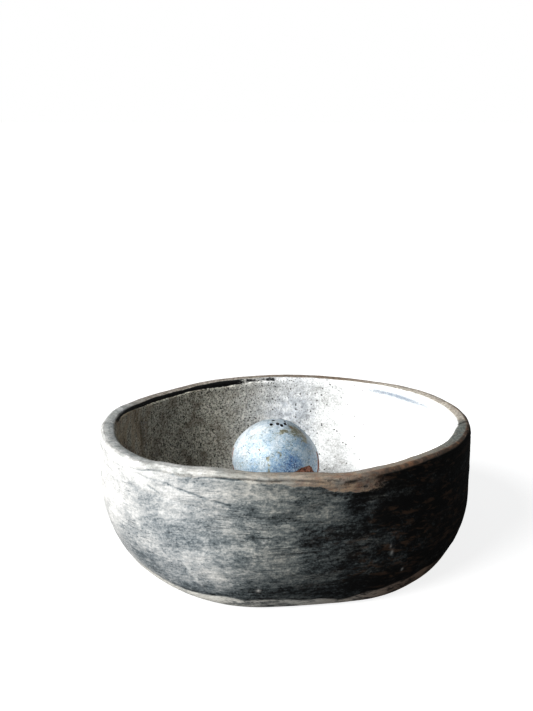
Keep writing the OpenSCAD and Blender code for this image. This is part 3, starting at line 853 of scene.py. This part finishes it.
def bowl_finish(name):
    """Washed clay outside, wiped clay on the rim and foot, and speckled glaze inside, one mask each; some masks also
    carry painted shade and painted light.
    """
    n = Net(name)
    p = n.mm()
    x, y, z = n.split(p)
    lean = n.attr("lean")
    wash_and_shade, warm, ink = n.attr("wash_and_shade"), n.attr("warm"), n.attr("ink")
    band, foot, chip_and_glint = n.attr("band"), n.attr("foot"), n.attr("chip_and_glint")
    inside, smudge, topside = n.attr("inside"), n.attr("smudge"), n.attr("topside")
    moss, upper = n.attr("moss"), n.attr("upper")

    def drawn(l, h, seed=0.0):
        """Coordinates for marks l mm long round the bowl and h mm high."""
        return n.join(n.math("MULTIPLY_ADD", x, 1.0 / l, seed), n.math("MULTIPLY_ADD", y, 1.0 / l, -seed),
                      n.math("MULTIPLY_ADD", lean, 1.0 / h, seed))

    # outside: dark wash brushed over pale clay and rubbed back; the wash mask also carries painted shade, darker toward
    # the shaded right
    large = n.noise(drawn(34, 15, 3), 1, 2, 0.5)
    cloud = n.noise(drawn(13, 5.5, 8), 1, 3, 0.55, 0.4)
    strk = n.noise(drawn(4.4, 1.25, 1), 1, 3, 0.6, 0.3)
    runs = n.noise(drawn(15, 2.6, 61), 1, 3, 0.6, 0.3)
    fine = n.noise(drawn(2.6, 0.85, 5), 1, 3, 0.65)
    grain = n.noise(p, 1.15, 3, 0.7)
    dash = n.span(n.noise(drawn(2.9, 0.8, 91), 1, 3, 0.65, 0.3), 0.43, 0.57)
    dots = n.noise(n.join(n.math("ADD", x, 17.0), y, n.math("MULTIPLY", lean, 1.25)), 0.95, 3, 0.72)
    blot = n.noise(p, 0.13, 3, 0.55, 0.5)
    mottle = n.noise(n.join(x, y, n.math("MULTIPLY", lean, 1.5)), 0.40, 3, 0.65, 0.5)
    var = n.add(n.math("MULTIPLY_ADD", large, 0.28, -0.14), n.math("MULTIPLY_ADD", cloud, 0.48, -0.24),
              n.math("MULTIPLY_ADD", blot, 0.26, -0.13), n.math("MULTIPLY_ADD", mottle, 0.34, -0.17),
              n.math("MULTIPLY_ADD", strk, 0.17, -0.085), n.math("MULTIPLY_ADD", runs, 0.22, -0.11),
              n.math("MULTIPLY_ADD", dash, 0.085, -0.043), n.math("MULTIPLY_ADD", dots, 0.30, -0.15),
              n.math("MULTIPLY_ADD", fine, 0.20, -0.10), n.math("MULTIPLY_ADD", grain, 0.42, -0.21))
    w = n.add(wash_and_shade, n.mul(var, n.math("MULTIPLY_ADD", wash_and_shade, 0.62, 0.72)))
    # fine dark flecks where the wash caught on grog, and thin dry brush lines
    fd, fc = n.cells(drawn(1.5, 1.0, 2), 1.0)
    fleck = n.mul(n.span(fd, 0.30, 0.12), n.span(cloud, 0.42, 0.62))
    hair = n.noise(drawn(46, 0.75, 11), 1, 2, 0.5)
    hairline = n.span(n.math("ABSOLUTE", n.math("SUBTRACT", hair, 0.5)), 0.012, 0.003)
    hairmask = n.span(n.noise(drawn(16, 9, 21), 1, 1, 0.5), 0.5, 0.62)
    # dark lines of wash in creases and scratches, and the painted shadow under the band
    w = n.add(w, n.mul(fleck, 0.17), n.mul(n.mul(hairline, hairmask), 0.26), n.mul(ink, 0.75))
    outside = n.ramp(w, [(0.0, (0.66, 0.655, 0.64)), (0.20, (0.485, 0.485, 0.475)), (0.38, (0.305, 0.318, 0.322)),
                         (0.54, (0.163, 0.183, 0.194)), (0.72, (0.068, 0.081, 0.087)), (0.88, (0.016, 0.018, 0.019)),
                         (1.0, (0.005, 0.005, 0.005))])
    beige = n.mul(n.span(x, -40.0, 10.0), n.span(w, 0.98, 0.46))
    outside = n.mix(n.mul(beige, 0.85), outside, (1.02, 0.965, 0.86), "MULTIPLY")
    # the clay's own colour comes through toward the right
    warm_n = n.span(n.noise(drawn(18, 6, 31), 1, 3, 0.6), 0.42, 0.68)
    outside = n.mix(n.mul(n.mul(warm, warm_n), 0.75), outside, (1.0, 0.78, 0.60), "MULTIPLY")
    rusty = n.mul(n.mul(warm, n.span(n.noise(drawn(6, 1.7, 71), 1, 3, 0.65, 0.4), 0.50, 0.66)), n.span(large, 0.40, 0.56))
    outside = n.mix(n.mul(rusty, 0.80), outside, (0.105, 0.062, 0.038))
    # pale chip, and painted glints as small pale spots
    outside = n.mix(n.mul(chip_and_glint, 0.85), outside, (0.74, 0.73, 0.70))

    # wiped clay on rim and foot: pale at the left, tan at the right, with wash left in patches
    tan_n = n.noise(p, 0.10, 3, 0.6)
    tan_at = n.add(n.span(x, -58.0, 34.0), n.math("MULTIPLY_ADD", tan_n, 0.7, -0.35))
    wiped = n.ramp(tan_at, [(0.05, (0.60, 0.60, 0.585)), (0.38, (0.50, 0.49, 0.455)), (0.62, (0.36, 0.325, 0.275)),
                            (0.95, (0.36, 0.275, 0.20))])
    streak = n.span(n.noise(drawn(6, 0.9, 51), 1, 3, 0.65, 0.3), 0.44, 0.60)
    pinkish = n.span(n.noise(p, 0.33, 3, 0.6), 0.46, 0.62)
    wiped = n.mix(n.mul(pinkish, n.span(tan_at, 0.45, 0.9, 0.0, 0.6)), wiped, (0.27, 0.155, 0.11))
    grey_n = n.span(n.noise(n.join(n.math("MULTIPLY", x, 0.16), n.math("MULTIPLY", y, 0.16), n.math("MULTIPLY", z, 0.2)), 1, 3, 0.6), 0.44, 0.62)
    wiped = n.mix(n.mul(grey_n, 0.55), wiped, (0.27, 0.285, 0.275))
    flat = n.math("SUBTRACT", 1.0, n.mul(upper, 0.75))
    wiped = n.mix(n.mul(n.mul(streak, flat), 0.30), wiped, (0.16, 0.15, 0.14))
    left_blue = n.mul(n.span(x, -40.0, -60.0), n.span(n.noise(p, 0.50, 4, 0.8), 0.42, 0.56))
    wiped = n.mix(n.mul(n.mul(left_blue, upper), 0.55), wiped, (0.22, 0.25, 0.265))
    wiped = n.mix(n.mul(n.mul(n.span(upper, 0.3, 1.0), n.span(n.noise(p, 0.6, 3, 0.7), 0.42, 0.62)), 0.42), wiped, (0.22, 0.225, 0.21))
    dull_top = n.mul(n.span(upper, 0.2, 0.9), n.span(x, 14.0, 46.0))
    wiped = n.mix(n.mul(dull_top, 0.55), wiped, (0.275, 0.265, 0.235))
    mossy = n.mul(moss, n.span(n.noise(p, 0.75, 3, 0.75), 0.26, 0.48))
    wiped = n.mix(n.mul(mossy, 0.9), wiped, n.mix(n.span(n.noise(p, 0.9, 3, 0.7), 0.4, 0.62), (0.095, 0.112, 0.108), (0.215, 0.240, 0.225)))
    lip_edge = n.mul(n.mul(topside, n.math("SUBTRACT", 1.0, n.span(upper, 0.0, 0.55))), n.mul(n.span(x, 14.0, 36.0), n.span(y, 8.0, -12.0)))
    cream = n.mul(n.mul(n.span(upper, 0.1, 0.8), n.span(x, 22.0, 50.0)), n.span(y, -1.0, 7.0))
    wiped = n.mix(n.mul(cream, 0.70), wiped, n.mix(n.span(n.noise(p, 0.8, 3, 0.7), 0.42, 0.60), (0.68, 0.64, 0.575), (0.36, 0.325, 0.28)))
    far_edge = n.mul(n.mul(topside, n.span(upper, 0.45, 0.0)), n.mul(n.span(x, 22.0, 45.0), n.span(y, -1.0, 7.0)))
    wiped = n.mix(n.mul(far_edge, 0.70), wiped, (0.085, 0.072, 0.06))
    lip_n = n.span(n.noise(p, 0.42, 3, 0.65), 0.36, 0.60)
    wiped = n.mix(n.mul(lip_edge, 0.80), wiped, n.mix(lip_n, (0.215, 0.120, 0.070), (0.045, 0.030, 0.022)))
    behind = n.mul(n.span(y, 12.0, 44.0), n.span(x, 52.0, 22.0, 0.12, 1.0))
    wiped = n.mix(n.mul(behind, 0.55), wiped, (0.27, 0.215, 0.165))
    back_dark = n.mul(behind, n.span(n.noise(p, 0.7, 3, 0.75), 0.44, 0.58))
    wiped = n.mix(n.mul(back_dark, 0.62), wiped, (0.12, 0.095, 0.075))
    rub = n.span(n.add(n.mul(strk, 0.5), n.mul(fine, 0.5)), 0.42, 0.60)
    wiped = n.mix(n.mul(n.mul(rub, flat), 0.30), wiped, (0.13, 0.12, 0.11))
    tiny = n.span(n.noise(p, 1.5, 3, 0.7), 0.52, 0.66)
    wiped = n.mix(n.mul(tiny, n.span(x, 0.0, 40.0, 0.42, 0.62)), wiped, (0.10, 0.085, 0.070))
    # near-black lines: wash in the crease and scratches, and the painted shadow under the band
    wiped = n.mix(n.mul(ink, 0.95), wiped, (0.009, 0.0085, 0.0085))
    worn = n.span(n.add(n.mul(strk, 0.5), n.mul(grain, 0.25), n.mul(runs, 0.25)), 0.60, 0.44)
    band_f = n.mul(band, n.add(0.30, n.mul(worn, 0.70)))
    band_f = n.math("MAXIMUM", n.span(n.add(band_f, n.math("MULTIPLY_ADD", strk, 0.9, -0.45)), 0.22, 0.60), n.mul(topside, n.span(worn, 0.0, 0.25, 0.55, 1.0)))
    clay = n.mix(n.math("MAXIMUM", n.mul(band_f, n.span(band, 0.0, 0.12)), n.span(upper, 0.0, 0.4)), outside, wiped)
    # foot band: wiped pale clay, painted paler still as painted light on its downward face
    foot_n = n.add(n.mul(cloud, 0.35), n.mul(strk, 0.35), n.mul(fine, 0.30))
    foot_f = n.mul(n.mul(foot, n.span(foot_n, 0.60, 0.48, 0.20, 1.0)), 0.95)
    foot_c = n.mix(n.span(x, 0.0, 55.0), (0.66, 0.645, 0.60), (0.46, 0.33, 0.25))
    foot_d = n.span(n.add(n.mul(fine, 0.15), n.mul(dots, 0.25), n.mul(cloud, 0.6)), 0.46, 0.62)
    clay = n.mix(foot_f, clay, n.mix(n.mul(foot_d, 0.55), foot_c, (0.085, 0.085, 0.082)))

    # glaze inside
    gcloud = n.noise(p, 0.055, 3, 0.55, 0.3)
    gmid = n.noise(p, 0.33, 3, 0.6)
    gfine = n.noise(p, 1.25, 3, 0.75)
    g = n.add(n.mul(gcloud, 0.30), n.mul(gmid, 0.25), n.mul(gfine, 0.45), n.span(x, -14.0, 12.0, -0.01, 0.065), n.span(x, 20.0, 46.0, 0.0, -0.13), n.mul(n.span(x, -4.0, 10.0), n.span(z, 30.0, 16.0, 0.0, -0.022)))
    glaze = n.ramp(g, [(0.34, (0.86, 0.86, 0.855)), (0.47, (0.79, 0.795, 0.79)), (0.56, (0.62, 0.625, 0.62)), (0.68, (0.37, 0.37, 0.36))])
    # painted shade: the glaze darker and browner on the left inner wall
    shadow_side = n.mul(n.span(x, 4.0, -44.0), n.span(z, 4.0, 16.0, 0.6, 1.0))
    # painted shade: a cooler, darker patch toward the back of the inside
    cool_shade = n.mul(n.mul(n.span(x, -36.0, -2.0), n.span(x, 18.0, 7.0)), n.mul(n.mul(n.span(y, 24.0, 44.0), n.span(z, 12.0, 22.0)), n.span(z, 47.0, 38.0, 0.35, 1.0)))
    glaze = n.mix(n.mul(cool_shade, n.span(gmid, 0.34, 0.62, 0.30, 0.76)), glaze, (0.62, 0.66, 0.72), "MULTIPLY")
    glaze = n.mix(n.mul(shadow_side, 0.90), glaze, (0.665, 0.635, 0.525), "MULTIPLY")
    d1, c1 = n.cells(p, 0.62)
    d2, c2 = n.cells(n.join(n.math("ADD", x, 31.0), y, z), 0.95)
    pepper = n.noise(p, 1.15, 3, 0.80)
    shade_mottle = n.noise(p, 0.15, 4, 0.68, 0.3)
    pep_k = n.math("MULTIPLY_ADD", shadow_side, 0.62, n.span(x, 2.0, 30.0, 0.22, 0.07))
    glaze = n.mix(n.mul(n.span(pepper, 0.505, 0.575), pep_k), glaze, (0.070, 0.064, 0.052))
    glaze = n.mix(n.mul(n.span(pepper, 0.475, 0.40), n.mul(shadow_side, 0.66)), glaze, (0.84, 0.80, 0.72))
    # mottled painted shade on the left inner wall
    glaze = n.mix(n.mul(n.mul(n.span(shade_mottle, 0.46, 0.62), shadow_side), 0.50), glaze, (0.14, 0.105, 0.070))
    ends = n.mul(n.span(x, -56.0, -65.0), n.span(n.noise(n.join(n.mul(x, 0.3), n.mul(y, 0.3), n.mul(z, 0.07)), 1, 3, 0.65), 0.42, 0.58, 0.15, 1.0))
    glaze = n.mix(n.mul(ends, 0.62), glaze, (0.42, 0.325, 0.22))
    runs_n = n.noise(n.join(n.math("MULTIPLY_ADD", x, 0.30, 9.0), n.mul(y, 0.30), n.mul(z, 0.08)), 1, 3, 0.7)
    glaze = n.mix(n.mul(n.mul(n.span(x, -56.0, -64.0), n.span(runs_n, 0.50, 0.62)), 0.5), glaze, (0.075, 0.060, 0.045))
    d3, c3 = n.cells(n.join(n.math("ADD", x, 77.0), y, n.math("ADD", z, 13.0)), 0.36)
    fewer = n.span(x, 34.0, -4.0, 0.14, 1.0)
    s1 = n.mul(n.mul(n.span(d1, 0.25, 0.12), n.span(gcloud, 0.34, 0.54)), fewer)
    s2 = n.mul(n.span(d2, 0.36, 0.18), fewer)
    s3 = n.span(d3, 0.17, 0.09)
    glaze = n.mix(n.mul(s2, 0.5), glaze, (0.15, 0.145, 0.135))
    glaze = n.mix(n.mul(s1, 0.92), glaze, (0.04, 0.037, 0.033))
    glaze = n.mix(n.mul(s3, n.span(x, 52.0, 20.0, 0.35, 0.94)), glaze, (0.022, 0.020, 0.018))
    # a light scratch or two, and the wash that ran over the edge
    sc = n.noise(n.join(n.mul(x, 0.05), n.mul(y, 0.05), n.math("MULTIPLY_ADD", z, 0.30, n.mul(x, 0.02))), 1, 1, 0.4)
    scr = n.mul(n.span(n.math("ABSOLUTE", n.math("SUBTRACT", sc, 0.5)), 0.006, 0.001), n.span(n.noise(p, 0.04, 1), 0.50, 0.60))
    glaze = n.mix(n.mul(scr, 0.5), glaze, (0.28, 0.27, 0.26))
    sm_n = n.add(n.mul(n.noise(p, 1.9, 3, 0.85), 0.75), n.mul(n.noise(p, 0.6, 2, 0.6), 0.25))
    sm_f = n.mul(n.span(n.add(smudge, n.math("MULTIPLY_ADD", sm_n, 1.3, -0.65)), 0.10, 1.0), n.span(smudge, 0.02, 0.45))
    glaze = n.mix(n.mul(sm_f, 0.95), glaze, (0.20, 0.235, 0.28))
    ink_n = n.span(n.noise(n.join(n.mul(x, 0.35), n.mul(y, 0.35), n.mul(z, 1.6)), 1, 3, 0.65), 0.26, 0.42)
    ink_r = n.noise(n.join(n.mul(x, 0.8), n.mul(y, 0.8), n.mul(z, 2.2)), 1, 3, 0.7)
    ink_f = n.span(n.add(n.mul(ink, n.add(0.35, n.mul(ink_n, 0.65))), n.math("MULTIPLY_ADD", ink_r, 1.1, -0.55)), 0.20, 0.66)
    glaze = n.mix(n.mul(n.mul(ink_f, n.span(ink, 0.02, 0.15)), 0.985), glaze, (0.005, 0.005, 0.006))
    color = n.mix(inside, clay, glaze)

    clay_rough = n.math("MULTIPLY_ADD", fine, 0.22, 0.66)
    glaze_rough = n.math("MULTIPLY_ADD", gmid, 0.2, 0.36)
    rough = n.mixf(inside, clay_rough, glaze_rough)
    # heights in tenths of a millimetre
    h_out = n.add(n.mul(n.add(n.mul(strk, 1.5), n.mul(fine, 1.1)), n.math("SUBTRACT", 1.0, n.mul(n.span(upper, 0.0, 0.5), 0.85))), n.mul(grain, 1.3), n.mul(fleck, -0.5), n.mul(n.mul(hairline, hairmask), -0.5),
                  n.mul(n.noise(p, 3.1, 2, 0.6), 0.35))
    h_in = n.add(n.mul(gmid, 0.8), n.mul(gfine, 0.25), n.mul(s1, -0.35), n.mul(s3, -0.45), n.mul(s2, -0.12))
    return n.finish(color, rough, n.mixf(inside, h_out, h_in), 0.0001, Specular_IOR_Level=0.2)


def ball_finish(name):
    n = Net(name)
    p = n.mm()
    bare, olive, rust = n.attr("bare"), n.attr("olive"), n.attr("rust")
    deep, pale_and_lit, pin_hole_shade = n.attr("deep"), n.attr("pale_and_lit"), n.attr("pin_hole_shade")
    cloud = n.noise(p, 0.16, 3, 0.6, 0.5)
    mott = n.noise(p, 0.62, 4, 0.68, 0.8)
    fine = n.noise(p, 1.9, 3, 0.7)
    # the pale mask lightens the colour: pale glaze, and painted light on the lit upper left
    f = n.add(n.math("MULTIPLY_ADD", cloud, 0.34, 0.045), n.mul(mott, 0.4), n.mul(fine, 0.18), n.mul(pale_and_lit, -0.105), n.mul(deep, 0.150))
    color = n.ramp(f, [(0.26, (0.65, 0.668, 0.675)), (0.40, (0.465, 0.51, 0.54)), (0.50, (0.300, 0.388, 0.455)),
                       (0.60, (0.20, 0.305, 0.42)), (0.72, (0.10, 0.205, 0.36)), (0.85, (0.050, 0.118, 0.265))])
    # milky threads and grey-olive squiggles where two glazes ran together
    a = n.noise(p, 0.42, 2, 0.5, 1.2)
    line = n.span(n.math("ABSOLUTE", n.math("SUBTRACT", a, 0.5)), 0.036, 0.012)
    line_m = n.span(n.noise(p, 0.25, 2), 0.46, 0.56)
    color = n.mix(n.mul(n.mul(line, line_m), 0.70), color, (0.19, 0.205, 0.165))
    a2 = n.noise(n.node("ShaderNodeVectorMath", {0: p, 1: (13.0, 29.0, 51.0)}, operation="ADD").outputs[0], 0.66, 3, 0.6, 1.4)
    line2 = n.span(n.math("ABSOLUTE", n.math("SUBTRACT", a2, 0.5)), 0.026, 0.008)
    line2_m = n.span(n.noise(p, 0.35, 2), 0.48, 0.60)
    color = n.mix(n.mul(n.mul(line2, line2_m), 0.75), color, (0.15, 0.19, 0.21))
    b = n.noise(n.node("ShaderNodeVectorMath", {0: p, 1: (40.0, 9.0, 3.0)}, operation="ADD").outputs[0], 0.75, 2, 0.5, 1.0)
    white = n.span(n.math("ABSOLUTE", n.math("SUBTRACT", b, 0.5)), 0.035, 0.01)
    color = n.mix(n.mul(white, 0.5), color, (0.62, 0.665, 0.69))
    salt = n.noise(p, 1.3, 3, 0.75)
    color = n.mix(n.mul(n.span(salt, 0.54, 0.70), 0.5), color, (0.62, 0.66, 0.68))
    color = n.mix(n.mul(n.span(salt, 0.44, 0.30), 0.55), color, (0.20, 0.27, 0.33))
    d, c = n.cells(p, 0.75)
    dots = n.mul(n.span(d, 0.30, 0.14), n.span(n.noise(p, 0.3, 1), 0.44, 0.56))
    color = n.mix(n.mul(dots, 0.75), color, (0.09, 0.13, 0.17))
    grit = n.mul(n.mul(n.span(deep, 0.25, 0.9), n.span(n.noise(p, 1.25, 3, 0.75), 0.50, 0.60)), 0.8)
    color = n.mix(grit, color, (0.03, 0.06, 0.15))
    o = n.span(n.add(olive, n.math("MULTIPLY_ADD", mott, 1.3, -0.65), n.math("MULTIPLY_ADD", fine, 0.8, -0.40)), 0.28, 0.62)
    oc = n.mix(n.span(mott, 0.42, 0.62), (0.31, 0.305, 0.225), (0.15, 0.135, 0.075))
    color = n.mix(n.mul(o, 0.86), color, oc)
    r = n.span(n.add(rust, n.math("MULTIPLY_ADD", fine, 0.8, -0.4)), 0.34, 0.62)
    color = n.mix(n.mul(r, 0.82), color, (0.19, 0.10, 0.05))
    clay_n = n.noise(p, 0.9, 3, 0.65)
    clay = n.ramp(clay_n, [(0.38, (0.40, 0.20, 0.135)), (0.5, (0.22, 0.095, 0.062)), (0.62, (0.07, 0.030, 0.020))])
    rimline = n.mul(n.span(bare, 0.02, 0.3), n.span(bare, 0.98, 0.6))
    color = n.mix(n.span(bare, 0.35, 0.6), color, clay)
    color = n.mix(n.mul(rimline, 0.55), color, (0.20, 0.12, 0.09))
    # pin holes painted near black: painted shade inside the holes
    color = n.mix(n.span(pin_hole_shade, 0.35, 0.85), color, (0.012, 0.007, 0.005))
    rough = n.mixf(bare, n.math("MULTIPLY_ADD", mott, 0.25, 0.26), 0.82)
    h = n.add(n.mul(mott, 1.6), n.mul(fine, 0.8), n.mul(salt, 0.6), n.mul(o, -0.5), n.mul(line, -0.25), n.mul(n.mul(clay_n, bare), 1.5))
    return n.finish(color, rough, h, 0.0001, Specular_IOR_Level=0.42)


clay_mat = bowl_finish("washed_clay")
rim_mat = bowl_finish("wiped_rim")
glaze_mat = bowl_finish("speckled_glaze")
ball_mat = ball_finish("blue_glaze")

for ob, node, mat, slot, body in (
        (base, "base_slab", clay_mat, "washed_clay", "bowl"),
        (lower_wall, "lower_wall_strip", clay_mat, "washed_clay", "bowl"),
        (upper_wall, "upper_wall_strip", clay_mat, "washed_clay", "bowl"),
        (rim, "rim_coil", rim_mat, "wiped_rim", "bowl"),
        (corner, "inner_corner_coil", glaze_mat, "speckled_glaze", "bowl"),
        (ball_low, "ball_lower_half", ball_mat, "blue_glaze", "ball"),
        (ball_up, "ball_upper_half", ball_mat, "blue_glaze", "ball")):
    ob.data.materials.append(mat)
    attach(ob, body)
    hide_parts(node)

# --------------------------------------------------------------------------
# Camera, floor and light
# --------------------------------------------------------------------------
cam_data = bpy.data.cameras.new("camera")
cam = bpy.data.objects.new("camera", cam_data)
scene.collection.objects.link(cam)
cam.location = (-0.00106, -0.40175, 0.1749)
cam.rotation_euler = (math.radians(90 - 13.4976), 0, math.radians(0.98820))
cam_data.sensor_width = 36
cam_data.lens = 52.15
cam_data.clip_start, cam_data.clip_end = 0.01, 100
cam_data.dof.use_dof = False
scene.camera = cam

# pale floor: bright to the eye, but it throws little light back up on the bowl
fm = bpy.data.meshes.new("floor")
S = 12.0
fm.from_pydata([(-S, -S, -0.0001), (S, -S, -0.0001), (S, S, -0.0001), (-S, S, -0.0001)], [], [(0, 1, 2, 3)])
floor = bpy.data.objects.new("floor", fm)
scene.collection.objects.link(floor)
fn = Net("floor_paint")
lp = fn.node("ShaderNodeLightPath").outputs["Is Camera Ray"]
seen = fn.node("ShaderNodeBsdfDiffuse", {"Color": (0.21, 0.21, 0.21)})
glow = fn.node("ShaderNodeEmission", {"Color": (1, 1, 1), "Strength": 0.87})
both = fn.node("ShaderNodeAddShader", {0: seen.outputs[0], 1: glow.outputs[0]})
dull = fn.node("ShaderNodeBsdfDiffuse", {"Color": (0.22, 0.22, 0.22)})
pick = fn.node("ShaderNodeMixShader", {0: lp, 1: dull.outputs[0], 2: both.outputs[0]})
fo = fn.node("ShaderNodeOutputMaterial")
fn.t.links.new(pick.outputs[0], fo.inputs[0])
fm.materials.append(fn.mat)

world = bpy.data.worlds.new("studio")
scene.world = world
world.use_nodes = True
wt = world.node_tree
wt.nodes.clear()
wl = wt.nodes.new("ShaderNodeLightPath")
back = wt.nodes.new("ShaderNodeBackground")
back.inputs[0].default_value = (1, 1, 1, 1)
back.inputs[1].default_value = 1.0
fill = wt.nodes.new("ShaderNodeBackground")
fill.inputs[0].default_value = (0.92, 0.96, 1.0, 1)
fill.inputs[1].default_value = 0.215
wm = wt.nodes.new("ShaderNodeMixShader")
wo = wt.nodes.new("ShaderNodeOutputWorld")
wt.links.new(wl.outputs["Is Camera Ray"], wm.inputs[0])
wt.links.new(fill.outputs[0], wm.inputs[1])
wt.links.new(back.outputs[0], wm.inputs[2])
wt.links.new(wm.outputs[0], wo.inputs[0])


def sun(name, az, el, energy, angle, color=(1, 1, 1)):
    ld = bpy.data.lights.new(name, "SUN")
    ld.energy, ld.angle, ld.color = energy, math.radians(angle), color
    lo = bpy.data.objects.new(name, ld)
    scene.collection.objects.link(lo)
    e, a = math.radians(el), math.radians(az)
    d = np.array([math.cos(e) * math.cos(a), math.cos(e) * math.sin(a), math.sin(e)])
    lo.rotation_euler = (math.pi / 2 - e, 0, a + math.pi / 2)
    lo.location = tuple(d * 2)
    return lo


sun("key", 217, 31, 6.5, 36)

scene.view_settings.view_transform = "Standard"
scene.view_settings.look = "None"
scene.view_settings.exposure = 0.0
scene.view_settings.gamma = 0.78
